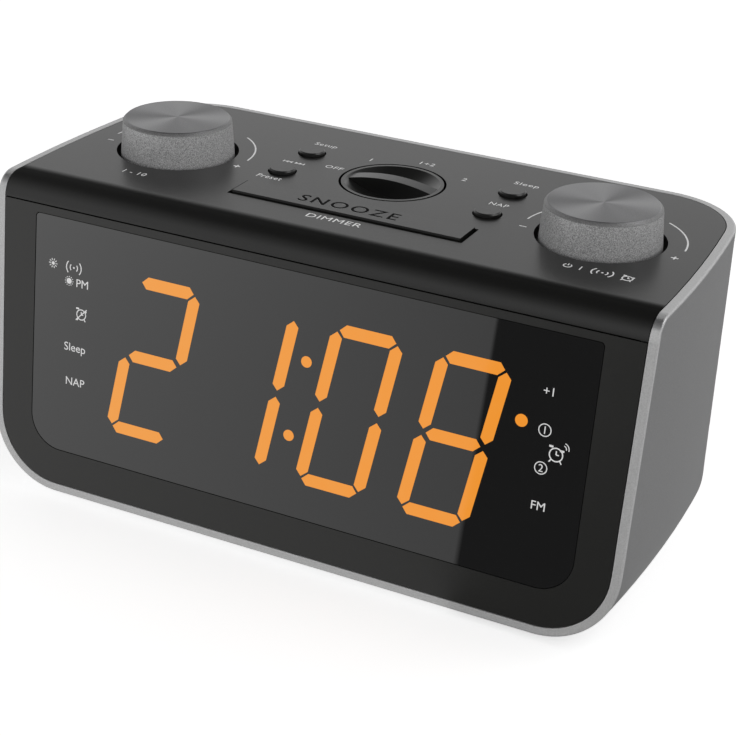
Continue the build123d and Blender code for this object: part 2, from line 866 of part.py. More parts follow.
def board_connectors():
    x0, x1 = ribbon_x
    low, high = main_board_height, control_board_height - board_thickness
    pieces = []
    for h0, h1, s0, s1 in ((low, low + 5, low + 2, low + 6), (high - 5, high, high - 6, high - 2)):
        housing = block(x0 - 1.5, x1 + 1.5, ribbon_depth - 2, ribbon_depth + 2, h0, h1)
        housing -= block(x0 - fit_gap / 2, x1 + fit_gap / 2, ribbon_depth - 0.5, ribbon_depth + 0.5, s0, s1)
        pieces.append(housing)
    return both_sides(pieces)


def ribbon_cable():
    x0, x1 = ribbon_x
    low = main_board_height + 2.0
    high = control_board_height - board_thickness - 2.0
    return block(x0, x1, ribbon_depth - 0.4, ribbon_depth + 0.4, low, high)


def aerial_rod():
    return place(-42, 40, 14) * Rot(0, 90, 0) * Cylinder(4.5, 48)


def aerial_coil():
    tube = place(-50, 40, 14) * Rot(0, 90, 0) * Cylinder(6.0, 18)
    return tube - place(-50, 40, 14) * Rot(0, 90, 0) * Cylinder(4.6, 20)


def aerial_holder():
    pieces = []
    for x in (-63.5, -22.0):
        saddle = block(x - 2, x + 2, 33.5, 46.5, shell_wall, 15.5)
        pieces.append(saddle - place(x, 40, 14) * Rot(0, 90, 0) * Cylinder(4.6, 20))
    return both_sides(pieces)


# ---------------------------------------------------------------- rear
def rear_cover():
    plate = cover_plate(0)
    h0, h1 = cover_heights
    slots = 9
    pitch, slot_width = 4.2, 2.0
    reach = speaker_radius - 3.0
    for k in range(slots):
        rise = (k - (slots - 1) / 2) * pitch
        half = sqrt(reach**2 - rise**2)
        plate -= block(speaker_x - half, speaker_x + half, inner_rear - 1, body_depth + 1,
                       speaker_height + rise - slot_width / 2, speaker_height + rise + slot_width / 2)
    ring = rearward(speaker_x, speaker_height, inner_rear - 3, inner_rear + 0.5, speaker_radius + 1.5)
    ring -= rearward(speaker_x, speaker_height, inner_rear - 4, inner_rear, speaker_radius + fit_gap)
    ring -= rearward(speaker_x, speaker_height, inner_rear - 4, body_depth, reach)
    plate += ring
    bay_w, bay_h = battery_bay
    plate -= block(battery_x - bay_w / 2, battery_x + bay_w / 2, inner_rear - 1, body_depth + 1,
                   battery_height - bay_h / 2, battery_height + bay_h / 2)
    plate -= door_pins(fit_gap + 1.3, door_pin_radius + running_gap)
    notch = place(battery_x, body_depth + 3.2, battery_height + bay_h / 2) * Sphere(5.0)
    plate -= notch
    plate -= rearward(jack_x, jack_height, inner_rear - 1, body_depth + 1, 3.6)
    plate -= rearward(grommet_x, grommet_height, inner_rear - 1, body_depth + 1, 3.0 + fit_gap)
    for x, h in cover_screw_places():
        plate -= rearward(x, h, inner_rear - 1, body_depth + 1, screw_radius + fit_gap)
        plate -= rearward(x, h, body_depth - 1.3, body_depth + 1, head_radius + fit_gap)
    return plate


jack_height = main_board_height + jack_size[2] / 2
door_gap = 0.25
door_axis = (
    body_depth - door_hinge_radius, battery_height - battery_bay[1] / 2 + door_hinge_radius + 0.3
)


def door_pins(extra, radius):
    """Pin along X on the battery door's axis, a little longer than the opening."""
    centre = place(battery_x, door_axis[0], door_axis[1])
    return centre * Rot(0, 90, 0) * Cylinder(radius, battery_bay[0] + 2 * extra)


def battery_door():
    half = battery_bay[0] / 2 - door_gap
    top = battery_height + battery_bay[1] / 2 - door_gap
    plate = block(battery_x - half, battery_x + half, body_depth - door_thickness, body_depth,
                  door_axis[1], top)
    plate += place(battery_x, door_axis[0], door_axis[1]) * Rot(0, 90, 0) * Cylinder(
        door_hinge_radius, 2 * half
    )
    plate += door_pins(1.2, door_pin_radius)
    return plate


def battery_box():
    bay_w, bay_h = battery_bay
    wall = battery_wall
    far = inner_rear - battery_bay_depth
    box = block(battery_x - bay_w / 2 - wall, battery_x + bay_w / 2 + wall, far - wall, inner_rear,
                battery_height - bay_h / 2 - wall, battery_height + bay_h / 2 + wall)
    return box - block(battery_x - bay_w / 2, battery_x + bay_w / 2, far, inner_rear + 1,
                       battery_height - bay_h / 2, battery_height + bay_h / 2)


cell_depth = inner_rear - battery_bay_depth + cell_radius + 0.25


def battery_cells():
    cells = []
    for side in side_both:
        at = place(battery_x, cell_depth, battery_height + side * (cell_radius + 0.45))
        can = at * Rot(0, 90, 0) * Cylinder(cell_radius, cell_length - 1.0)
        nub = at * Pos(side * cell_length / 2, 0, 0) * Rot(0, 90, 0) * Cylinder(1.9, 1.0)
        cells.append(can + nub)
    return both_sides(cells)


def battery_contacts():
    """Spring plates at both ends of the bay, bent towards the cells."""
    pieces = []
    for side in side_both:
        wall_x = battery_x + side * battery_bay[0] / 2
        cell_x = battery_x + side * (cell_length / 2 + 0.5)
        for end in side_both:
            reach = 0.0 if side == end else 1.0
            h = battery_height + end * (cell_radius + 0.45)
            x0, x1 = sorted((wall_x, cell_x - side * reach))
            pieces.append(block(x0, x1, cell_depth - 2.5, cell_depth + 2.5, h - 3.0, h + 3.0))
    return both_sides(pieces)


def speaker_basket():
    front = inner_rear
    ring = rearward(speaker_x, speaker_height, front - 1.5, front, speaker_radius)
    cup = rearward(speaker_x, speaker_height, front - 11, front - 1.5, 16.0)
    basket = ring + cup
    basket -= rearward(speaker_x, speaker_height, front - 10, front + 1, 14.6)
    return basket - rearward(speaker_x, speaker_height, front - 1.4, front + 1, 19.4)


def speaker_magnet():
    front = inner_rear - 11
    return rearward(speaker_x, speaker_height, inner_rear - speaker_depth, front, 12.0)


def speaker_cone():
    """Paper cone with its rubber surround and dust cap, open towards the rear."""
    front = inner_rear - 0.4
    outer = [(19.0, 0.0), (19.0, -0.8), (14.2, -0.8), (5.0, -7.5), (0, -7.5),
             (0, -6.2), (4.6, -6.2), (13.4, 0.0)]
    face = make_face(Polyline(outer, close=True))
    solid = revolve(Plane.XZ * face, Axis.Z)
    return place(speaker_x, front, speaker_height) * Rot(-90, 0, 0) * solid


def dc_jack():
    w, length, tall = jack_size
    body = block(jack_x - w / 2, jack_x + w / 2, inner_rear - length, inner_rear,
                 main_board_height, main_board_height + tall)
    return body - rearward(jack_x, jack_height, inner_rear - 10.0, inner_rear + 1, 3.25)


def dc_jack_pin():
    return rearward(jack_x, jack_height, inner_rear - 10.0, inner_rear - 2.2, 1.0)


def aerial_grommet():
    front = inner_rear
    body = rearward(grommet_x, grommet_height, front - 1.5, body_depth, 3.0)
    body += rearward(grommet_x, grommet_height, front - 1.5, front, 4.5)
    return body - rearward(grommet_x, grommet_height, body_depth - 1.8, body_depth + 1, 1.1)


def rear_cover_screws():
    pieces = []
    for x, h in cover_screw_places():
        seat = body_depth - 1.3
        screw = rearward(x, h, seat, seat + 1.0, head_radius)
        screw += rearward(x, h, seat - 8.0, seat, thread_radius)
        pieces.append(screw)
    return both_sides(pieces)


def case_screws():
    return screws_up(case_post_places(), boss_height - case_screw_web, 12.0)


def rubber_foot(x, depth):
    pad = post(x, depth, -foot_height, 0, foot_radius)
    return pad + post(x, depth, 0, foot_sink, foot_radius - foot_step)


# ---------------------------------------------------------------- write every piece
def main():
    save(outer_shell(), "outer_shell")
    save(top_panel(), "top_panel")
    save(front_fascia(), "front_fascia")
    save(display_lens(), "display_lens")
    save(display_reflector(), "display_reflector")
    save(digit_light_pipes(), "digit_light_pipes")
    save(display_board(), "display_board")
    save(display_leds(), "display_leds")
    save(display_screws(), "display_screws")
    for name, x in (("tuning", -knob_x), ("volume", knob_x)):
        save(knob_cap(x), f"{name}_knob_cap")
        save(knob_insert(x), f"{name}_knob_insert")
        save(knob_shaft(x), f"{name}_shaft")
        save(push_plate(x), f"{name}_push_plate")
        save(encoder_body(x), f"{name}_encoder_body")
    save(alarm_selector_knob(), "alarm_selector_knob")
    save(alarm_selector_shaft(), "alarm_selector_shaft")
    save(rotary_switch(), "alarm_rotary_switch")
    for name, (x, depth) in button_places().items():
        save(push_button(x, depth), f"{name}_button")
        save(switch_stem(x, depth), f"{name}_switch_stem")
    switch_places = list(button_places().values()) + [(0, snooze_switch_depth)]
    save(both_sides([switch_body(x, d) for x, d in switch_places]), "button_switch_bodies")
    save(snooze_key(), "snooze_key")
    save(switch_stem(0, snooze_switch_depth), "snooze_switch_stem")
    save(control_board(), "control_board")
    save(screws_up(control_board_posts(), control_board_height - board_thickness, 7.5),
         "control_board_screws")
    save(main_board(), "main_board")
    save(screws_down(main_board_posts(), main_board_height, 7.5), "main_board_screws")
    save(main_board_parts(), "main_board_parts")
    save(tuner_shield(), "tuner_shield")
    save(board_connectors(), "board_connectors")
    save(ribbon_cable(), "ribbon_cable")
    save(aerial_rod(), "aerial_rod")
    save(aerial_coil(), "aerial_coil")
    save(aerial_holder(), "aerial_holder")
    save(rear_cover(), "rear_cover")
    save(rear_cover_screws(), "rear_cover_screws")
    save(battery_door(), "battery_door")
    save(battery_box(), "battery_box")
    save(battery_cells(), "battery_cells")
    save(battery_contacts(), "battery_contacts")
    save(speaker_basket(), "speaker_basket")
    save(speaker_magnet(), "speaker_magnet")
    save(speaker_cone(), "speaker_cone")
    save(dc_jack(), "dc_jack")
    save(dc_jack_pin(), "dc_jack_pin")
    save(aerial_grommet(), "aerial_grommet")
    save(case_screws(), "case_screws")
    save(both_sides([rubber_foot(x, d) for x, d in case_feet()]), "rubber_feet")


main()
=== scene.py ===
"""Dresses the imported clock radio: finishes for every solid, the lit display, the print on
the panel, the engraved snooze key, the turned knobs, the rear marks and a small studio."""

import math

import bpy
import numpy as np
from bpy.props import FloatProperty, FloatVectorProperty, PointerProperty
from mathutils import Matrix, Vector


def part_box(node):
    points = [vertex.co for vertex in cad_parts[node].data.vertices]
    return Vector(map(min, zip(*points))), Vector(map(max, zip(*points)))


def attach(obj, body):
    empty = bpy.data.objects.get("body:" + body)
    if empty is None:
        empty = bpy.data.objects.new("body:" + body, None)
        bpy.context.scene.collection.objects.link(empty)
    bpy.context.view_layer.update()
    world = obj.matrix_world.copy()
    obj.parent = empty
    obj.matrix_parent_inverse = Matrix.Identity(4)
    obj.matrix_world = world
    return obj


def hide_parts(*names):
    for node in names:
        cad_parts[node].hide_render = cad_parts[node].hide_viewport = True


bl_info = {
    "name": "Clock Radio Dressing",
    "version": (1, 0, 0),
    "blender": (4, 5, 0),
    "location": "View3D > Sidebar > Clock Radio",
    "description": "Finishes, display, print, knobs and studio for a table clock radio",
    "category": "Object",
}

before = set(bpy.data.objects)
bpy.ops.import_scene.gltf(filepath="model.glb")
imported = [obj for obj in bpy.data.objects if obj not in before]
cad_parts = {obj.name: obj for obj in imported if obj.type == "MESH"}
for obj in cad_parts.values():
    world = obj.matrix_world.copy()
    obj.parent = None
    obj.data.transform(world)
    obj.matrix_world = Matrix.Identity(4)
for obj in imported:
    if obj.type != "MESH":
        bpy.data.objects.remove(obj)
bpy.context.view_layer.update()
MM = 0.001

# ------------------------------------------------------------------ the radio's own planes
CASE_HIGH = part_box("outer_shell")[1]
PANEL_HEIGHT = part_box("top_panel")[1].z
LEAN = math.radians(6.84)               # of the front, backwards
FRONT_FOOT = (0.0, -0.0486, 0.0015)     # middle of the front's bottom edge
FLOOR_SIZE, SHEET_SIZE = 3.0, 1.6       # half sides, in metres
SHEET_HEIGHT = 0.0006

# ------------------------------------------------------------------ print, digits and knobs, in mm
PRINT_LIFT = 0.03           # print stands this far out of its surface
PRINT_THICKNESS = 0.03
WINDOW_DEPTH = -0.1         # the window lies this far behind the front
BAR_LIFT = 0.04             # lit bars stand this far out of the window
DIGIT_HALF_WIDTH = 8.6      # from a digit's middle to the middle of its upright bars
DIGIT_MIDDLE = 47.0         # height along the front
DISPLAY_SHIFT = 1.5         # the row of digits sits this far right of the middle
KNOB_FOOT = -3.2            # lower end of a knob, below the panel
KNOB_TAPER = 1.0            # a knob is this much wider at its foot
KNOB_WALL = 1.2
RIM_FADE = 2500.0           # per metre: the painted highlight on the tub's rim fades over 0.4 mm
KNOB_FADE = 4000.0          # per metre: a mask on a knob fades over 0.25 mm
SPUN_RINGS = 7000.0         # rings of a spun top, per metre of radius


def plane_matrix(origin, across, up):
    """4x4 matrix of a flat place: its x runs across, its y up, its z out of the surface."""
    a, u = np.array(across, float), np.array(up, float)
    m = np.eye(4)
    m[:3, 0], m[:3, 1], m[:3, 2], m[:3, 3] = a, u, np.cross(a, u), origin
    return m


FRONT = plane_matrix(FRONT_FOOT, (1, 0, 0), (0, math.sin(LEAN), math.cos(LEAN)))
TOP = plane_matrix((0, FRONT_FOOT[1], PANEL_HEIGHT), (1, 0, 0), (0, 1, 0))
BACK = plane_matrix((0, CASE_HIGH.y, FRONT_FOOT[2]), (-1, 0, 0), (0, 0, 1))


def box_centre(node):
    """Middle of a solid's box in metres, and its highest point."""
    low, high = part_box(node)
    return np.array([(low.x + high.x) / 2, (low.y + high.y) / 2, high.z])


# ------------------------------------------------------------------ shader expressions
class Socket:
    """A node's output, so that materials can be written as arithmetic."""

    def __init__(self, tree, link):
        self.tree, self.link = tree, link

    def _math(self, operation, other=None, swap=False):
        node = self.tree.nodes.new("ShaderNodeMath")
        node.operation = operation
        values = [self, other] if not swap else [other, self]
        for slot, value in zip(node.inputs, values):
            if isinstance(value, Socket):
                self.tree.links.new(value.link, slot)
            elif value is not None:
                slot.default_value = value
        return Socket(self.tree, node.outputs[0])

    def __add__(self, o): return self._math("ADD", o)
    def __radd__(self, o): return self._math("ADD", o)
    def __sub__(self, o): return self._math("SUBTRACT", o)
    def __rsub__(self, o): return self._math("SUBTRACT", o, True)
    def __mul__(self, o): return self._math("MULTIPLY", o)
    def __rmul__(self, o): return self._math("MULTIPLY", o)
    def __truediv__(self, o): return self._math("DIVIDE", o)
    def __pow__(self, o): return self._math("POWER", o)
    def sine(self): return self._math("SINE")
    def absolute(self): return self._math("ABSOLUTE")
    def at_most(self, o): return self._math("MINIMUM", o)
    def at_least(self, o): return self._math("MAXIMUM", o)
    def mask(self): return self.at_most(1.0).at_least(0.0)


class Finish:
    """One material: a Principled shader and the nodes that feed it."""

    def __init__(self, name, **constants):
        self.material = bpy.data.materials.new(name)
        self.material.use_nodes = True
        self.tree = self.material.node_tree
        self.shader = self.tree.nodes["Principled BSDF"]
        for key, value in constants.items():
            socket = key.replace("_", " ").title().replace("Ior", "IOR")
            self.shader.inputs[socket].default_value = value

    def node(self, kind, settings=None, **values):
        """Adds a node, sets its settings, then its sockets by name, with _ for a space, or by
        number."""
        n = self.tree.nodes.new(kind)
        for key, value in (settings or {}).items():
            if key == "stops":
                ramp = n.color_ramp
                while len(ramp.elements) < len(value):
                    ramp.elements.new(0.5)
                for element, (at, colour) in zip(ramp.elements, value):
                    element.position = at
                    element.color = (*colour, 1.0)
            else:
                setattr(n, key, value)
        for key, value in values.items():
            name = key.replace("_", " ")
            numbered = key[0] == "i" and key[1:].isdigit()
            slot = n.inputs[int(key[1:])] if numbered else n.inputs[name]
            if isinstance(value, Socket):
                self.tree.links.new(value.link, slot)
            else:
                slot.default_value = value
        return n

    def out(self, kind, output, settings=None, **values):
        """Adds a node and gives one of its outputs."""
        return Socket(self.tree, self.node(kind, settings, **values).outputs[output])

    def place(self, centre=(0, 0, 0)):
        """Object coordinates measured from a centre."""
        coordinate = self.out("ShaderNodeTexCoord", "Object")
        return self.out("ShaderNodeVectorMath", 0, {"operation": "SUBTRACT"}, i0=coordinate,
                        i1=centre)

    def split(self, centre=(0, 0, 0)):
        """The three object coordinates measured from a centre."""
        n = self.node("ShaderNodeSeparateXYZ", {}, Vector=self.place(centre))
        return [Socket(self.tree, output) for output in n.outputs]

    def noise(self, scale, detail=2.0, vector=None):
        """Soft noise from 0 to 1; scale counts its waves in a metre."""
        vector = vector or self.place()
        return self.out("ShaderNodeTexNoise", 0, {}, Vector=vector, Scale=scale, Detail=detail,
                        Roughness=0.5)

    def mix(self, factor, a, b):
        """Colour between a and b."""
        n = self.tree.nodes.new("ShaderNodeMix")
        n.data_type = "RGBA"
        for slot, value in zip((n.inputs[0], n.inputs[6], n.inputs[7]), (factor, a, b)):
            if isinstance(value, Socket):
                self.tree.links.new(value.link, slot)
            else:
                slot.default_value = value if isinstance(value, float) else (*value, 1.0)
        return Socket(self.tree, n.outputs[2])

    def feed(self, socket, value):
        """Links a value to the shader."""
        self.tree.links.new(value.link, self.shader.inputs[socket])
        return self

    def bump(self, height, distance, strength=1.0):
        """Tilts the shading by a height."""
        n = self.out("ShaderNodeBump", 0, {}, Height=height, Distance=distance, Strength=strength)
        return self.feed("Normal", n)


def grey(value):
    """Neutral colour."""
    return (value, value, value)


def satin_lacquer(name, dark, light, metallic=0.95, roughness=0.36, grain=2600.0):
    """Fine sparkling silver lacquer: two sizes of grain in colour, roughness and height. Its front
    rim and top edge, within a millimetre of their planes, carry a painted highlight: they are made
    paler and less metallic."""
    f = Finish(name)
    fine = f.noise(grain, 1.0)
    cloud = f.noise(38.0, 3.0)
    mask = (fine * 1.7 - 0.35) * 0.8 + cloud * 0.2
    _, y, z = f.split(FRONT_FOOT)
    behind = y * math.cos(LEAN) - z * math.sin(LEAN)
    rim = (behind * -RIM_FADE + 2.6).mask()
    edge = ((z - (CASE_HIGH.z - FRONT_FOOT[2])) * RIM_FADE + 2.2).mask()
    # painted highlight: the front rim and the top edge are made paler and less metallic
    painted_rim_highlight = rim.at_least(edge * 0.7)
    painted_highlight_tone = f.mix(mask, grey(0.5), grey(0.66))
    f.feed("Base Color", f.mix(painted_rim_highlight, f.mix(mask, dark, light), painted_highlight_tone))
    f.feed("Metallic", metallic - painted_rim_highlight * 0.75)
    f.feed("Roughness", roughness - 0.06 + fine * 0.16)
    return f.bump(fine, 0.00006, 0.4).material


def moulded(name, colour, roughness=0.42, grain=1500.0, depth=0.00002, spread=0.12, **constants):
    """Moulded plastic with a very fine texture and faint clouds."""
    f = Finish(name, roughness=roughness, **constants)
    fine = f.noise(grain, 2.0)
    cloud = f.noise(24.0, 3.0)
    light = tuple(min(1.0, c * (1 + 2 * spread) + 0.002) for c in colour)
    dark = tuple(c * (1 - spread) for c in colour)
    f.feed("Base Color", f.mix(fine * 0.6 + cloud * 0.4, dark, light))
    f.feed("Roughness", roughness - 0.05 + fine * 0.08 + cloud * 0.04)
    return f.bump(fine, depth, 0.5).material


def crowned_panel(name, colour, front, roll=0.0064, radius=0.0086, width=0.0036, **constants):
    """Moulded black that bends down towards the front edge in a wider sweep than its short
    roll: the height falls as a circle of the given radius over the last stretch before the
    roll, and that slope fades out in a straight line over the roll itself."""
    f = Finish(name, **constants)
    y = f.split((0, front, 0))[1]
    into = (y * -1.0 + (roll + width)).at_least(0.0).at_most(width)
    over = (y * -1.0 + roll).at_least(0.0).at_most(roll)
    fine = f.noise(1500.0, 2.0)
    cloud = f.noise(24.0, 3.0)
    f.feed("Base Color", f.mix(fine * 0.6 + cloud * 0.4, tuple(c * 0.8 for c in colour),
                               tuple(c * 1.4 + 0.001 for c in colour)))
    f.feed("Roughness", 0.25 + fine * 0.06 + cloud * 0.03)
    slope = width / math.sqrt(radius * radius - width * width)
    sweep = (into * into * -1.0 + radius * radius) ** 0.5 - radius
    fade = (over * over * (0.5 / roll) - over) * slope
    return f.bump(sweep + fade + fine * 0.000006, 1.0, 1.0).material


def turned_metal(name, colour, centre, roughness=0.3):
    """Turned or drawn metal: fine rings about an upright axis through the centre."""
    f = Finish(name, metallic=1.0, roughness=roughness)
    away = f.place(tuple(centre))
    flat = f.out("ShaderNodeVectorMath", 0, {"operation": "MULTIPLY"}, i0=away, i1=(1, 1, 0))
    radius = f.out("ShaderNodeVectorMath", "Value", {"operation": "LENGTH"}, i0=flat)
    rings = (radius * 9000.0).sine() * 0.5 + 0.5
    worn = f.noise(400.0, 3.0)
    f.feed("Base Color", f.mix(worn * 0.7 + rings * 0.3, tuple(c * 0.8 for c in colour), colour))
    f.feed("Roughness", roughness + rings * 0.06 + worn * 0.08)
    return f.material


def drawn_steel(name, colour, roughness=0.32):
    """Plain plated steel with faint streaks."""
    f = Finish(name, metallic=1.0, roughness=roughness)
    worn = f.noise(700.0, 4.0)
    f.feed("Base Color", f.mix(worn, tuple(c * 0.75 for c in colour), colour))
    f.feed("Roughness", roughness - 0.06 + worn * 0.14)
    return f.bump(worn, 0.00002, 0.4).material


def circuit_board(name):
    """Green lacquer over faint copper tracks."""
    f = Finish(name, roughness=0.4)
    brick = f.node("ShaderNodeTexBrick", {"offset": 0.4}, Vector=f.place(), Scale=170.0,
                   Mortar_Size=0.03)
    tracks = Socket(f.tree, brick.outputs["Fac"])
    f.feed("Base Color", f.mix(tracks, (0.008, 0.06, 0.024), (0.02, 0.13, 0.05)))
    f.feed("Roughness", 0.36 + tracks * 0.15)
    return f.bump(tracks, 0.00003, 0.4).material


def wound_wire(name):
    """Lacquered copper wire, wound in turns about the X axis."""
    f = Finish(name, metallic=0.9, roughness=0.35)
    turns = (f.split()[0] * 16000.0).sine() * 0.5 + 0.5
    f.feed("Base Color", f.mix(turns, (0.25, 0.08, 0.02), (0.75, 0.33, 0.12)))
    return f.bump(turns, 0.0001, 0.8).material


def glowing(name, colour, strength):
    """Amber light behind a smooth window: a little brighter towards one side."""
    f = Finish(name, roughness=0.06, base_color=(0.02, 0.01, 0.005, 1.0))
    along = (f.split()[0] * 5.0 + 0.5).mask()
    mottled = f.noise(300.0, 2.0)
    shade = along * 0.7 + mottled * 0.3
    f.feed("Emission Color", f.mix(shade, colour[0], colour[1]))
    f.shader.inputs["Emission Strength"].default_value = strength
    return f.material


def window_black(name):
    """Smoked window: black and glossy, with a trace of dust in its roughness."""
    f = Finish(name, roughness=0.02, specular_ior_level=1.0)
    dust = f.noise(900.0, 3.0)
    f.feed("Base Color", f.mix(dust, (0.001, 0.001, 0.0011), (0.002, 0.002, 0.0021)))
    f.feed("Roughness", 0.012 + dust * 0.012)
    return f.material


def print_ink(name, value, painted_glow=0.0):
    """Screen-printed ink, not quite even; painted_glow sets white light that the ink itself gives
    off, a painted brightening though it is no lamp.
    """
    # painted glow: white emission lightens the ink though it is no lamp
    f = Finish(name, roughness=0.5, emission_color=(1.0, 1.0, 1.0, 1.0), emission_strength=painted_glow)
    wear = f.noise(2500.0, 2.0)
    f.feed("Base Color", f.mix(wear, grey(value * 0.8), grey(value)))
    f.feed("Roughness", 0.45 + wear * 0.15)
    return f.material


# ------------------------------------------------------------------ meshes from numpy
def make_piece(name, verts, faces, body, material, smooth=False):
    """Object from arrays of points in metres and faces, riding on a body."""
    mesh = bpy.data.meshes.new(name)
    mesh.from_pydata(np.asarray(verts).tolist(), [], [list(map(int, f)) for f in faces])
    mesh.validate()
    mesh.materials.append(material)
    mesh.polygons.foreach_set("use_smooth", [smooth] * len(mesh.polygons))
    obj = bpy.data.objects.new(name, mesh)
    bpy.context.scene.collection.objects.link(obj)
    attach(obj, body)
    return obj


def prisms(outlines, lift, thickness):
    """Closed prisms over flat outlines in millimetres: points of the low and the high outline,
    then a floor, a lid and a wall face for each edge."""
    verts, faces, start = [], [], 0
    for outline in outlines:
        p = np.asarray(outline, float)
        n = len(p)
        low = np.c_[p, np.full(n, lift - thickness)]
        high = np.c_[p, np.full(n, lift)]
        verts += [low, high]
        k = np.arange(n)
        nxt = (k + 1) % n
        walls = np.c_[k, nxt, nxt + n, k + n] + start
        faces += [list(k[::-1] + start), list(k + n + start)] + walls.tolist()
        start += 2 * n
    return np.concatenate(verts), faces


def apply_matrix(matrix, points_mm):
    """Points of a flat place in millimetres to the row frame in metres."""
    p = np.asarray(points_mm, float) * MM
    return p @ matrix[:3, :3].T + matrix[:3, 3]


def flat_marks(name, outlines, matrix, body, material, lift=PRINT_LIFT,
               thickness=PRINT_THICKNESS):
    """Thin closed plates over outlines, laid on a flat place."""
    verts, faces = prisms(outlines, lift, thickness)
    return make_piece(name, apply_matrix(matrix, verts), faces, body, material)


def stroke(points, width):
    """Outline of a stroke along a path: each point is moved half the width to both sides of
    the path's mean direction there."""
    p = np.asarray(points, float)
    d = np.gradient(p, axis=0)
    d /= np.maximum(np.linalg.norm(d, axis=1, keepdims=True), 1e-9)
    side = np.c_[-d[:, 1], d[:, 0]] * width / 2
    return np.r_[p - side, (p + side)[::-1]]


def arc(cx, cy, radius, start, end, steps=28):
    """Points on a circle between two angles in degrees."""
    t = np.radians(np.linspace(start, end, steps))
    return np.c_[cx + radius * np.cos(t), cy + radius * np.sin(t)]


def ring_halves(cx, cy, radius, width):
    """A full ring as two half strokes that meet."""
    return [stroke(arc(cx, cy, radius, start, start + 180), width) for start in (0, 180)]


def lathe(profile, centre, steps=160):
    """Surface of revolution about an upright axis: profile points (radius, height) in
    millimetres at every angle; the ends on the axis are single poles."""
    prof = np.asarray(profile, float)
    t = np.linspace(0, 2 * np.pi, steps, endpoint=False)
    verts, rows = [], []
    count = 0
    for r, z in prof:
        if r < 1e-6:
            verts.append([[0, 0, z]])
            rows.append(np.full(steps, count))
            count += 1
        else:
            verts.append(np.c_[r * np.cos(t), r * np.sin(t), np.full(steps, z)])
            rows.append(count + np.arange(steps))
            count += steps
    verts = np.concatenate([np.asarray(v, float) for v in verts]) * MM + np.asarray(centre)
    faces = []
    for a, b in zip(rows[:-1], rows[1:]):
        a2, b2 = np.roll(a, -1), np.roll(b, -1)
        for quad in np.c_[a, a2, b2, b].tolist():
            face = list(dict.fromkeys(quad))
            if len(face) > 2:
                faces.append(face)
    return verts, faces


def rounded_profile(points, radii, steps=6):
    """Corners of an open profile replaced by arcs: each corner's arc runs from one tangent
    length before it to one after it, as a quadratic curve."""
    p = [np.asarray(q, float) for q in points]
    out = [p[0]]
    for k in range(1, len(p) - 1):
        r = radii[k - 1]
        if r <= 0:
            out.append(p[k])
            continue
        a = p[k] + (p[k - 1] - p[k]) / np.linalg.norm(p[k - 1] - p[k]) * r
        b = p[k] + (p[k + 1] - p[k]) / np.linalg.norm(p[k + 1] - p[k]) * r
        for s in np.linspace(0, 1, steps):
            out.append((1 - s) ** 2 * a + 2 * s * (1 - s) * p[k] + s * s * b)
    out.append(p[-1])
    return np.array(out)


def words(name, text, height, x, y, matrix, body, material, spacing=1.0, squeeze=1.0,
          lift=PRINT_LIFT, thickness=PRINT_THICKNESS, offset=0.0):
    """Letters of a cap height in millimetres, centred at x, y on a flat place, as a mesh."""
    curve = bpy.data.curves.new(name + "_outline", "FONT")
    curve.body = text
    curve.size = 1.0
    curve.space_character = spacing
    curve.align_x, curve.align_y = "CENTER", "CENTER"
    curve.extrude = 0.5
    curve.offset = offset
    curve.resolution_u = 4
    holder = bpy.data.objects.new(name + "_outline", curve)
    bpy.context.scene.collection.objects.link(holder)
    bpy.context.view_layer.update()
    graph = bpy.context.evaluated_depsgraph_get()
    mesh = bpy.data.meshes.new_from_object(holder.evaluated_get(graph))
    bpy.data.objects.remove(holder)
    bpy.data.curves.remove(curve)
    co = np.zeros(len(mesh.vertices) * 3)
    mesh.vertices.foreach_get("co", co)
    co = co.reshape(-1, 3)
    low, high = co.min(0), co.max(0)
    scale = height / (high[1] - low[1])
    middle = (low + high) / 2
    flat = (co[:, :2] - middle[:2]) * scale
    flat[:, 0] *= squeeze
    z = np.where(co[:, 2] > 0, lift, lift - thickness)
    placed = apply_matrix(matrix, np.c_[flat + [x, y], z])
    mesh.vertices.foreach_set("co", placed.ravel())
    mesh.materials.clear()
    mesh.materials.append(material)
    mesh.update()
    obj = bpy.data.objects.new(name, mesh)
    bpy.context.scene.collection.objects.link(obj)
    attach(obj, body)
    return obj


# ------------------------------------------------------------------ sizes a user may change
class RadioSizes(bpy.types.PropertyGroup):
    """Sizes of the display, the print and the controls, in millimetres."""
    digit_pitch: FloatProperty(name="Digit pitch", description="Distance between digits",
                               default=29.9)
    digit_slant: FloatProperty(name="Digit slant", description="Sideways lean per height",
                               default=0.17)
    bar_width: FloatProperty(name="Bar width", description="Thickness of a digit's bars",
                             default=3.45)
    label_height: FloatProperty(name="Label height", description="Capital height of labels",
                                default=2.1)
    line_width: FloatProperty(name="Line width", description="Width of printed lines", default=0.46)
    knob_rise: FloatProperty(name="Knob rise", description="Knob height above the panel",
                             default=9.8)
    knob_top_radius: FloatProperty(name="Knob radius", description="Knob radius at its top",
                                   default=15.4)
    knob_bevel: FloatProperty(name="Knob bevel", description="Bevel round the knob's top",
                              default=0.8)


class RadioColours(bpy.types.PropertyGroup):
    """Colours of the visible finishes, as linear values."""
    amber_left: FloatVectorProperty(name="Amber, left", description="Display light at the left",
                                    subtype="COLOR", default=(0.89, 0.36, 0.065))
    amber_right: FloatVectorProperty(name="Amber, right", description="Display light at the right",
                                     subtype="COLOR", default=(0.93, 0.30, 0.016))
    silver: FloatVectorProperty(name="Silver", description="Lacquer of the tub", subtype="COLOR",
                                default=(0.55, 0.55, 0.555))
    panel: FloatVectorProperty(name="Panel", description="Plastic of the top panel",
                               subtype="COLOR", default=(0.006, 0.006, 0.0055))
    ink: FloatProperty(name="Ink", description="Brightness of the print", default=0.9)


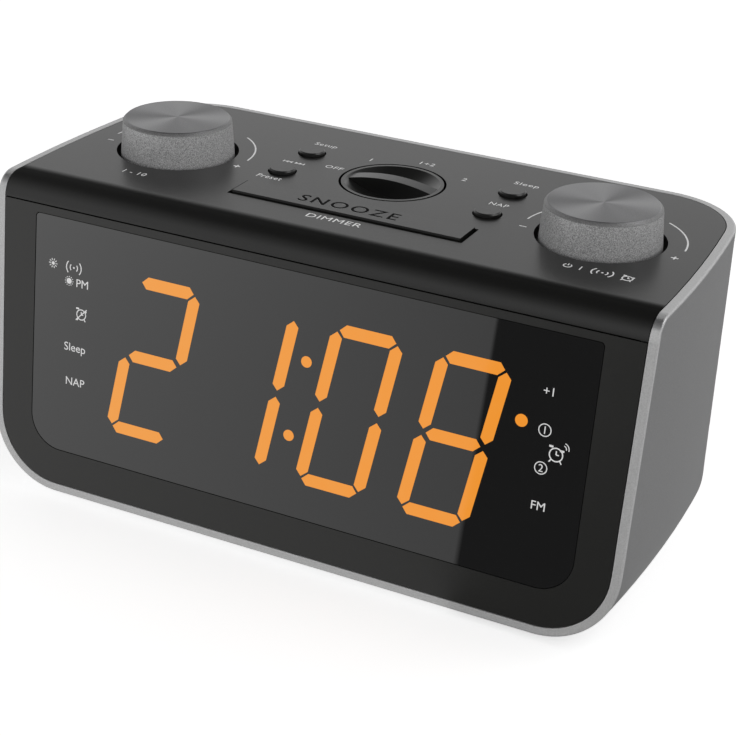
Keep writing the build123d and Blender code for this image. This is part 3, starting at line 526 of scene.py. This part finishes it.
def sizes():
    """The sizes kept on the scene."""
    return bpy.context.scene.radio_sizes


def colours():
    """The colours kept on the scene."""
    return bpy.context.scene.radio_colours


def dress(node, material):
    """Gives a solid of the frame its finish."""
    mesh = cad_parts[node].data
    mesh.materials.clear()
    mesh.materials.append(material)


# ------------------------------------------------------------------ operators
class RADIO_OT_finishes(bpy.types.Operator):
    """Give every solid of the frame its material"""
    bl_idname = "radio.finishes"
    bl_label = "Finishes"

    def execute(self, context):
        c = colours()
        silver = tuple(c.silver)
        panel = tuple(c.panel)
        lacquer = satin_lacquer("silver_lacquer", tuple(v * 0.72 for v in silver), silver)
        black = moulded("panel_black", panel, roughness=0.3)
        front_edge = FRONT_FOOT[1] + PANEL_HEIGHT * math.tan(LEAN)
        crowned = crowned_panel("crowned_black", panel, front_edge, specular_ior_level=0.45)
        fascia = moulded("fascia_black", tuple(v * 2.6 for v in panel), roughness=0.34,
                         specular_ior_level=0.45)
        dark = moulded("inner_black", grey(0.02), roughness=0.5)
        moulding = moulded("switch_grey", grey(0.05), roughness=0.45)
        steel = drawn_steel("plated_steel", (0.62, 0.61, 0.58))
        board = circuit_board("circuit_board")
        pale = moulded("reflector_white", grey(0.08), roughness=0.4)
        amber = tuple(c.amber_left), tuple(c.amber_right)
        looks = {
            "outer_shell": lacquer, "top_panel": crowned, "front_fascia": fascia,
            "display_lens": window_black("window"), "display_reflector": pale,
            "digit_light_pipes": glowing("light_pipes", amber, 0.4),
            "display_leds": moulded("led_epoxy", (0.6, 0.5, 0.2), roughness=0.15),
            "tuner_shield": drawn_steel("tinned_sheet", (0.7, 0.7, 0.7), 0.25),
            "ribbon_cable": moulded("ribbon_grey", grey(0.25), roughness=0.5),
            "aerial_rod": moulded("ferrite", grey(0.04), roughness=0.6, depth=0.00005),
            "aerial_coil": wound_wire("coil_wire"),
            "battery_cells": moulded("cell_wrap", (0.02, 0.06, 0.16), roughness=0.25),
            "battery_contacts": drawn_steel("nickel", (0.72, 0.7, 0.66), 0.22),
            "speaker_basket": moulded("basket_lacquer", grey(0.06), roughness=0.35),
            "speaker_magnet": moulded("magnet_grey", grey(0.09), roughness=0.6, depth=0.00006),
            "speaker_cone": moulded("cone_paper", grey(0.03), roughness=0.8, depth=0.00008),
            "dc_jack_pin": drawn_steel("pin_brass", (0.8, 0.58, 0.2), 0.25),
            "rubber_feet": moulded("foot_rubber", grey(0.018), roughness=0.75, depth=0.00006),
            "aerial_grommet": moulded("grommet_rubber", grey(0.02), roughness=0.7),
            "rear_cover": moulded("cover_black", grey(0.022), roughness=0.5, depth=0.00006),
            "battery_door": moulded("door_black", grey(0.024), roughness=0.5, depth=0.00006),
            "snooze_key": black, "alarm_selector_knob": black,
        }
        for node in ("display_board", "control_board", "main_board"):
            looks[node] = board
        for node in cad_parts:
            if node.endswith("_screws"):
                looks[node] = steel
            if node.endswith("_button"):
                looks[node] = black
            if node.endswith(("_switch_stem", "_push_plate", "_encoder_body", "_knob_insert")):
                looks[node] = moulding
        for side in ("tuning", "volume", "alarm_selector"):
            centre = box_centre(f"{side}_shaft")
            looks[f"{side}_shaft"] = turned_metal(f"{side}_shaft_steel", (0.6, 0.6, 0.58), centre)
        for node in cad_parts:
            dress(node, looks.get(node, dark))
        return {"FINISHED"}


BAR_SETS = {"2": (0, 4, 1, 5, 2), "1": (4, 6), "0": (0, 2, 3, 4, 5, 6), "8": (0, 1, 2, 3, 4, 5, 6)}


def lit_bars(text):
    """Outlines of a digit's lit bars round its middle: level bars top, middle and bottom, then
    upright bars upper left, upper right, lower left and lower right; ends taper to a point and
    every point leans sideways in step with its height."""
    s = sizes()
    half = s.bar_width / 2

    def bar(length, along, cx, cy):
        tip = half * 0.95
        p = np.array([(-length / 2, 0), (-length / 2 + tip, half), (length / 2 - tip, half),
                      (length / 2, 0), (length / 2 - tip, -half), (-length / 2 + tip, -half)])
        return (p if along else p[::-1, ::-1]) + (cx, cy)

    bars = [bar(16.1, True, 0, 21.55), bar(15.2, True, 0, 0), bar(16.4, True, 0, -21.85)]
    for cy, length in ((10.95, 20.1), (-11.1, 20.3)):
        bars += [bar(length, False, side * DIGIT_HALF_WIDTH, cy) for side in (-1, 1)]
    chosen = [bars[k] for k in BAR_SETS[text]]
    return [np.c_[p[:, 0] + s.digit_slant * p[:, 1], p[:, 1]] for p in chosen]


def disc(cx, cy, radius, steps=40):
    """Points round a full circle."""
    return arc(cx, cy, radius, 0, 360, steps + 1)[:-1]


def burst(cx, cy, radius, core=0.36, rays=10):
    """Small sun: a disc of a share of the radius and short strokes round it."""
    shapes = [disc(cx, cy, radius * core, 20)]
    for k in range(rays):
        a = 2 * math.pi * k / rays
        d = np.array((math.cos(a), math.sin(a)))
        shapes.append(stroke([np.array((cx, cy)) + d * radius * (core + 0.2),
                              np.array((cx, cy)) + d * radius], radius * 0.16))
    return shapes


def waves(cx, cy, reach, width):
    """Radio waves: a dot and arcs that open to both sides."""
    shapes = [disc(cx, cy, width * 0.9, 14)]
    for r in (0.5, 1.0):
        for turn in (0, 180):
            shapes.append(stroke(arc(cx, cy, reach * r, turn - 42, turn + 42, 12), width))
    return shapes


def clock_face(cx, cy, radius, width, struck=False):
    """Alarm clock: ring, two hands, two bells and feet; struck through when it is off."""
    shapes = ring_halves(cx, cy, radius, width)
    shapes.append(stroke([(cx, cy), (cx, cy + radius * 0.6)], width))
    shapes.append(stroke([(cx, cy), (cx + radius * 0.45, cy)], width))
    for side in (-1, 1):
        x, y = cx + side * radius * 0.85, cy + radius * 0.95
        reach, drop = 0.32 * radius, side * 0.2 * radius
        bell = [(x - reach, y - drop), (x + reach, y - drop)]
        shapes.append(stroke(bell, width * 1.7))
        shapes.append(stroke([(cx + side * radius * 0.65, cy - radius * 0.8),
                              (cx + side * radius * 0.95, cy - radius * 1.25)], width))
    if struck:
        shapes.append(stroke([(cx - radius * 1.2, cy - radius * 1.2),
                              (cx + radius * 1.2, cy + radius * 1.2)], width))
    return shapes


class RADIO_OT_display(bpy.types.Operator):
    """Lit bars and dots, and the symbols printed inside the window"""
    bl_idname = "radio.display"
    bl_label = "Display"

    def execute(self, context):
        s, c = sizes(), colours()
        amber = glowing("amber_light", (tuple(c.amber_left), tuple(c.amber_right)), 0.92)
        # the window print is lightened by a painted glow
        ink = print_ink("window_ink", 0.85, painted_glow=0.18)
        for k, text in enumerate("2108"):
            middle = (k - 1.5) * s.digit_pitch + DISPLAY_SHIFT
            bars = [p + (middle, DIGIT_MIDDLE) for p in lit_bars(text)]
            flat_marks(f"digit_{k + 1}_bars", bars, FRONT, "case", amber,
                       lift=WINDOW_DEPTH + BAR_LIFT, thickness=BAR_LIFT)
        dots = [disc(3.27, 57.8, 1.55), disc(-0.27, 36.25, 1.55), disc(63.9, 56.7, 1.68)]
        flat_marks("display_dots", dots, FRONT, "case", amber,
                   lift=WINDOW_DEPTH + BAR_LIFT, thickness=BAR_LIFT)
        w = 0.3
        marks = burst(-76.6, 67.9, 1.4) + waves(-69.8, 67.9, 2.4, w)
        marks += burst(-71.2, 63.9, 1.4, core=0.58, rays=12)
        marks += clock_face(-66.9, 55.0, 1.45, 0.28, struck=True)
        marks += ring_halves(70.3, 55.7, 1.62, 0.26) + ring_halves(70.5, 45.6, 1.62, 0.26)
        marks += clock_face(74.0, 50.0, 1.75, 0.32)
        marks += [stroke(arc(75.6, 52.0, r, -10, 75, 8), 0.24) for r in (0.9, 1.6)]
        flat_marks("window_symbols", marks, FRONT, "case", ink,
                   lift=WINDOW_DEPTH + PRINT_LIFT)
        texts = [("PM", 2.25, -66.9, 63.8), ("Sleep", 3.1, -68.7, 44.6), ("NAP", 2.25, -68.2, 34.9),
                 ("+1", 2.2, 70.0, 65.9), ("1", 2.0, 70.3, 55.7), ("2", 2.0, 70.5, 45.6),
                 ("FM", 2.3, 71.1, 35.4)]
        for k, (text, height, x, y) in enumerate(texts):
            words(f"window_label_{k + 1}", text, height, x, y, FRONT, "case", ink,
                  lift=WINDOW_DEPTH + PRINT_LIFT)
        return {"FINISHED"}


def skip_arrows(cx, cy, size):
    """Two pairs of triangles pointing apart, each with its bar."""
    shapes = []
    for side in (-1, 1):
        for step in (0.35, 1.35):
            x0 = cx + side * (step * size)
            triangle = [(x0, cy - size / 2), (x0 + side * size, cy), (x0, cy + size / 2)]
            shapes.append(np.array(triangle)[::side])
        x0 = cx + side * 2.55 * size
        shapes.append(stroke([(x0, cy - size / 2), (x0, cy + size / 2)], size * 0.28))
    return shapes


def power_symbol(cx, cy, radius, width):
    """Open ring with an upright stroke at its gap."""
    return [stroke(arc(cx, cy, radius, 125, 415, 24), width),
            stroke([(cx, cy + radius * 0.25), (cx, cy + radius * 1.25)], width)]


class RADIO_OT_panel_print(bpy.types.Operator):
    """Arcs, signs and labels printed on the top panel"""
    bl_idname = "radio.panel_print"
    bl_label = "Panel print"

    def execute(self, context):
        s = sizes()
        # the panel print is lightened by a painted glow
        ink = print_ink("panel_ink", colours().ink, painted_glow=0.1)
        w, h = s.line_width, s.label_height
        for name, cx in (("tuning", -64.6), ("volume", 64.6)):
            arcs = [stroke(arc(cx, 54.9, 21.8, 3, 57), w), stroke(arc(cx, 54.9, 21.8, 123, 177), w)]
            flat_marks(f"{name}_arcs", arcs, TOP, "case", ink)
        signs = []
        for x, y, plus in ((-43.0, 50.4, True), (-85.1, 50.5, False), (43.8, 50.3, False),
                           (85.5, 50.2, True)):
            signs.append(stroke([(x - 1.0, y), (x + 1.0, y)], w))
            if plus:
                signs += [stroke([(x, y + w / 2), (x, y + 1.0)], w),
                          stroke([(x, y - w / 2), (x, y - 1.0)], w)]
        flat_marks("turning_signs", signs, TOP, "case", ink)
        symbols = power_symbol(63.7, 31.3, 1.05, 0.32)
        symbols.append(stroke([(67.2, 30.2), (67.2, 32.5)], 0.3))
        symbols += waves(72.9, 31.4, 2.8, 0.36)
        symbols += clock_face(79.6, 31.2, 1.35, 0.34)
        symbols += skip_arrows(-30.9, 61.6, 1.25)
        flat_marks("panel_symbols", symbols, TOP, "case", ink)
        labels = [("Setup", h * 1.3, 1.0, -29.9, 79.3), ("Preset", h * 1.1, 0.82, -30.9, 47.6),
                  ("OFF", h, 1.0, -19.2, 63.9), ("1", h, 1.0, -13.3, 75.4),
                  ("1+2", h, 1.0, 2.0, 80.8), ("2", h, 1.0, 16.2, 74.7),
                  ("Sleep", h * 1.3, 1.1, 32.8, 79.7), ("NAP", h, 0.9, 32.2, 61.6),
                  ("1 - 10", h, 1.0, -64.1, 30.8), ("DIMMER", 2.5, 1.14, -0.5, 27.9)]
        for k, (text, height, squeeze, x, y) in enumerate(labels):
            words(f"panel_label_{k + 1}", text, height, x, y, TOP, "case", ink,
                  spacing=1.1, squeeze=squeeze)
        return {"FINISHED"}


class RADIO_OT_snooze_engraving(bpy.types.Operator):
    """Letters of the sunk snooze marking, drawn as thin plates: very dark strokes as painted shade
    of the sunk letters, and a pale copy along their near side as a painted highlight
    """
    bl_idname = "radio.snooze_engraving"
    bl_label = "Snooze engraving"

    def execute(self, context):
        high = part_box("snooze_key")[1].z
        key = plane_matrix((0, FRONT_FOOT[1], high), (1, 0, 0), (0, 1, 0))
        # painted shade and painted highlight: the very dark letters stand in for shade inside the
        # sunk strokes, and the pale copy set nearer the front stands in for light on their near
        # edge
        painted_recess_shade = moulded("engraving_painted_shade", grey(0.001), roughness=0.7, specular_ior_level=0.05)
        painted_lip_highlight = moulded("engraving_painted_highlight", grey(0.22), roughness=0.5)
        for name, y, lift, finish in (("snooze_painted_highlight", 36.78, 0.012, painted_lip_highlight),
                                      ("snooze_letters_painted_shade", 37.0, 0.02, painted_recess_shade)):
            words(name, "SNOOZE", 4.7, -0.8, y, key, "snooze", finish,
                  spacing=1.22, lift=lift, thickness=0.01, offset=0.012)
        return {"FINISHED"}


def wedge_metal(name, centre, top):
    """Spun top whose soft radial wedges, fading in and out with the angle, are painted highlights;
    a bevel band darkened as painted shade; and a blasted side."""
    f = Finish(name)
    x, y, z = f.split(tuple(centre))
    angle = f.out("ShaderNodeMath", 0, {"operation": "ARCTAN2"}, i0=y, i1=x)
    radius = (x * x + y * y) ** 0.5
    # painted highlights: brighter and darker sectors round the axis stand in for the reflections of
    # a spun top
    painted_wedge_highlights = (angle * 3.0 + 0.7).sine() * 0.5 + (angle * 5.0 - 1.1).sine() * 0.3
    outwards = f.out("ShaderNodeCombineXYZ", 0, {}, X=radius * SPUN_RINGS, Y=0.0, Z=0.0)
    rings = f.noise(1.0, 1.0, vector=outwards)
    blast = f.noise(3700.0, 1.5)
    on_top = ((z * -1.0 + top) * -KNOB_FADE + 1.2).mask()
    # painted shade: the band just below the top edge is darkened towards grey 0.13
    bevel = ((z * -1.0 + top) * -KNOB_FADE + 4.2).mask()
    # the top's tone: painted highlight sectors, spun rings and blast grain together
    turned = painted_wedge_highlights * 0.55 + 0.5 + (rings - 0.5) * 0.2 + (blast - 0.5) * 0.9
    sanded = blast * 3.2 - 1.1
    top_tone = f.mix(turned, (0.13, 0.13, 0.134), (0.34, 0.34, 0.345))
    side_tone = f.mix(sanded, (0.26, 0.26, 0.263), (0.64, 0.64, 0.643))
    f.feed("Base Color", f.mix(on_top, f.mix(bevel * 0.75, side_tone, grey(0.13)), top_tone))
    f.feed("Metallic", on_top * 0.5 + 0.45)
    f.feed("Roughness", on_top * -0.06 + 0.42 + blast * 0.1)
    return f.bump(blast * (1.0 - on_top) + rings * on_top * 0.3, 0.00004, 0.5).material


class RADIO_OT_knobs(bpy.types.Operator):
    """Two turned knobs: flat spun top, bevel and a slightly tapering blasted side"""
    bl_idname = "radio.knobs"
    bl_label = "Knobs"

    def execute(self, context):
        s = sizes()
        top, r, b, low = s.knob_rise, s.knob_top_radius, s.knob_bevel, KNOB_FOOT
        slope = KNOB_TAPER / (top - low)
        outer = [(0, top), (r - b, top), (r + slope * b, top - b), (r + KNOB_TAPER, low),
                 (r + KNOB_TAPER - KNOB_WALL, low), (r - KNOB_WALL, top - KNOB_WALL),
                 (0, top - KNOB_WALL)]
        profile = rounded_profile(outer, [0.12, 0.15, 0.15, 0, 0])
        for side in ("tuning", "volume"):
            centre = box_centre(f"{side}_knob_cap")
            centre[2] = PANEL_HEIGHT
            verts, faces = lathe(profile[::-1], centre, 192)
            finish = wedge_metal(f"{side}_spun_metal", centre, top * MM)
            knob = make_piece(f"{side}_knob_skin", verts, faces, f"{side}_knob",
                              finish, smooth=True)
            knob.data.set_sharp_from_angle(angle=math.radians(35))
            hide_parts(f"{side}_knob_cap")
        return {"FINISHED"}


class RADIO_OT_rear_marks(bpy.types.Operator):
    """Small symbols beside the power inlet, the aerial and the battery door"""
    bl_idname = "radio.rear_marks"
    bl_label = "Rear marks"

    def execute(self, context):
        ink = print_ink("rear_ink", 0.45)
        x = -40.0
        marks = [stroke([(x - 2.2, 33.4), (x + 2.2, 33.4)], 0.35)]
        marks += [stroke([(x - 2.2 + 1.6 * k, 32.3), (x - 1.0 + 1.6 * k, 32.3)], 0.35)
                  for k in range(3)]
        x = -12.0
        marks += [stroke([(x, 31.0), (x, 35.4)], 0.35), stroke([(x - 1.8, 35.4), (x, 33.2)], 0.35),
                  stroke([(x + 1.8, 35.4), (x, 33.2)], 0.35)]
        flat_marks("rear_symbols", marks, BACK, "case", ink)
        arrow = [stroke([(-30.0, 57.5), (-30.0, 52.5)], 0.5),
                 np.array([(-31.4, 53.0), (-30.0, 50.8), (-28.6, 53.0)])]
        flat_marks("door_arrow", arrow, BACK, "battery_door", ink)
        return {"FINISHED"}


# ------------------------------------------------------------------ studio
CAMERA_PLACE = (0.20636, -0.42714, 0.26779)
CAMERA_RIGHT = (0.89335, 0.44799, 0.03494)
CAMERA_DOWN = (0.23545, -0.40045, -0.88555)
CAMERA_AHEAD = (-0.38273, 0.79934, -0.46323)
CAMERA_LENS = 90.697
CAMERA_RISE = 60.0 / 736.0      # shift as a share of the picture
# The straight edge of the light sheet's lit part, as two places on the floor.
EDGE_FAR, EDGE_NEAR = (-0.0867, -0.4300), (0.0365, -0.0869)


def flat_square(name, size, height):
    """Level square of twice the size, linked to the scene."""
    mesh = bpy.data.meshes.new(name)
    mesh.from_pydata([(-size, -size, height), (size, -size, height), (size, size, height),
                      (-size, size, height)], [], [(0, 1, 2, 3)])
    square = bpy.data.objects.new(name, mesh)
    bpy.context.scene.collection.objects.link(square)
    return square


def area_lamp(name, place, target, size, energy):
    """Square lamp that faces its target."""
    data = bpy.data.lights.new(name, "AREA")
    data.energy, data.size = energy, size
    lamp = bpy.data.objects.new(name, data)
    bpy.context.scene.collection.objects.link(lamp)
    d = np.asarray(target, float) - np.asarray(place, float)
    lamp.rotation_mode = "QUATERNION"
    lamp.rotation_quaternion = Vector(d).to_track_quat("-Z", "Y")
    lamp.location = place


class RADIO_OT_studio(bpy.types.Operator):
    """Camera, sky, pale floor, one soft lamp and a light sheet that only reflections see"""
    bl_idname = "radio.studio"
    bl_label = "Studio"

    def execute(self, context):
        scene = context.scene
        self.camera(scene)
        self.world(scene)
        self.floor()
        self.card()
        area_lamp("soft_lamp", (0.9, 0.3, 1.2), (0, 0, 0.04), 0.8, 5.0)
        scene.view_settings.view_transform = "Standard"
        return {"FINISHED"}

    def camera(self, scene):
        """Camera from its place and its right, down and ahead directions."""
        data = bpy.data.cameras.new("camera")
        data.sensor_width, data.lens, data.shift_y = 36.0, CAMERA_LENS, CAMERA_RISE
        data.clip_start, data.clip_end = 0.01, 20.0
        m = np.eye(4)
        m[:3, 0], m[:3, 1] = CAMERA_RIGHT, -np.array(CAMERA_DOWN)
        m[:3, 2], m[:3, 3] = -np.array(CAMERA_AHEAD), CAMERA_PLACE
        camera = bpy.data.objects.new("camera", data)
        scene.collection.objects.link(camera)
        camera.matrix_world = Matrix(m.tolist())
        scene.camera = camera

    def world(self, scene):
        """Bright all round to 30 degrees up and dim overhead, with a softer fall in front than
        behind, and white to the camera."""
        world = bpy.data.worlds.new("studio_air")
        scene.world = world
        world.use_nodes = True
        tree = world.node_tree
        nodes, links = tree.nodes, tree.links
        back = nodes["Background"]
        coordinate = nodes.new("ShaderNodeTexCoord")
        split = nodes.new("ShaderNodeSeparateXYZ")
        links.new(coordinate.outputs["Generated"], split.inputs[0])
        y, z = Socket(tree, split.outputs[1]), Socket(tree, split.outputs[2])
        front = (y * -2.0 + 0.2).at_least(0.0).at_most(1.0)
        fall = ((z - 0.5) / (front * 0.22 + 0.2)).at_least(0.0).at_most(1.0)
        level = 0.9 - fall * 0.8 - (z - 0.7).at_least(0.0) * 0.15
        path = nodes.new("ShaderNodeLightPath")
        mix = nodes.new("ShaderNodeMix")
        mix.data_type = "RGBA"
        mix.inputs[7].default_value = (1, 1, 1, 1)
        links.new(path.outputs["Is Camera Ray"], mix.inputs[0])
        links.new(level.link, mix.inputs[6])
        links.new(mix.outputs[2], back.inputs[0])

    def floor(self):
        """Pale floor, lit up for the camera alone."""
        floor = flat_square("floor", FLOOR_SIZE, 0.0)
        f = Finish("floor_white", roughness=0.9, base_color=(0.8, 0.8, 0.8, 1),
                   specular_ior_level=0.1)
        f.shader.inputs["Emission Color"].default_value = (1, 1, 1, 1)
        path = f.out("ShaderNodeLightPath", "Is Camera Ray")
        f.tree.links.new((path * 0.62).link, f.shader.inputs["Emission Strength"])
        floor.data.materials.append(f.material)

    def card(self):
        """Sheet on the floor that only reflections see: in front its light falls off to the right
        and stops at a straight edge, right of which it is dark; beside and behind it is even."""
        card = flat_square("light_sheet", SHEET_SIZE, SHEET_HEIGHT)
        f = Finish("sheet_light", roughness=0.9, base_color=(0.0, 0.0, 0.0, 1),
                   specular_ior_level=0.0, emission_strength=1.0)
        x, y, _ = f.split()
        (ax, ay), (bx, by) = EDGE_FAR, EDGE_NEAR
        length = math.hypot(bx - ax, by - ay)
        side = (x - ax) * ((by - ay) / length) - (y - ay) * ((bx - ax) / length)
        shade = side * -2.1 + 0.6
        lit = (side * -600.0 + 0.5).mask()
        front = shade.at_most(1.15).at_least(0.05) * lit + (1.0 - lit) * 0.11
        beside = ((y + 0.05) * 30.0).mask()
        level = front * (1.0 - beside) + beside * 0.3
        f.feed("Emission Color", f.out("ShaderNodeCombineXYZ", 0, {}, X=level, Y=level, Z=level))
        card.data.materials.append(f.material)
        for ray in ("camera", "diffuse", "transmission", "volume_scatter", "shadow"):
            setattr(card, "visible_" + ray, False)


class RADIO_PT_panel(bpy.types.Panel):
    """Lists the steps that dress the radio"""
    bl_label = "Clock Radio"
    bl_idname = "RADIO_PT_panel"
    bl_space_type = "VIEW_3D"
    bl_region_type = "UI"
    bl_category = "Clock Radio"

    def draw(self, context):
        for step in STEPS:
            self.layout.operator(step.bl_idname)
        for group in (context.scene.radio_sizes, context.scene.radio_colours):
            for name in group.__annotations__:
                self.layout.prop(group, name)


STEPS = (RADIO_OT_finishes, RADIO_OT_display, RADIO_OT_panel_print, RADIO_OT_snooze_engraving,
         RADIO_OT_knobs, RADIO_OT_rear_marks, RADIO_OT_studio)
CLASSES = (RadioSizes, RadioColours) + STEPS + (RADIO_PT_panel,)


def register():
    for cls in CLASSES:
        bpy.utils.register_class(cls)
    bpy.types.Scene.radio_sizes = PointerProperty(type=RadioSizes)
    bpy.types.Scene.radio_colours = PointerProperty(type=RadioColours)


def unregister():
    del bpy.types.Scene.radio_sizes, bpy.types.Scene.radio_colours
    for cls in reversed(CLASSES):
        bpy.utils.unregister_class(cls)


def main():
    """Builds everything in order."""
    register()
    for step in STEPS:
        group, name = step.bl_idname.split(".")
        getattr(getattr(bpy.ops, group), name)()


if __name__ == "__main__":
    main()
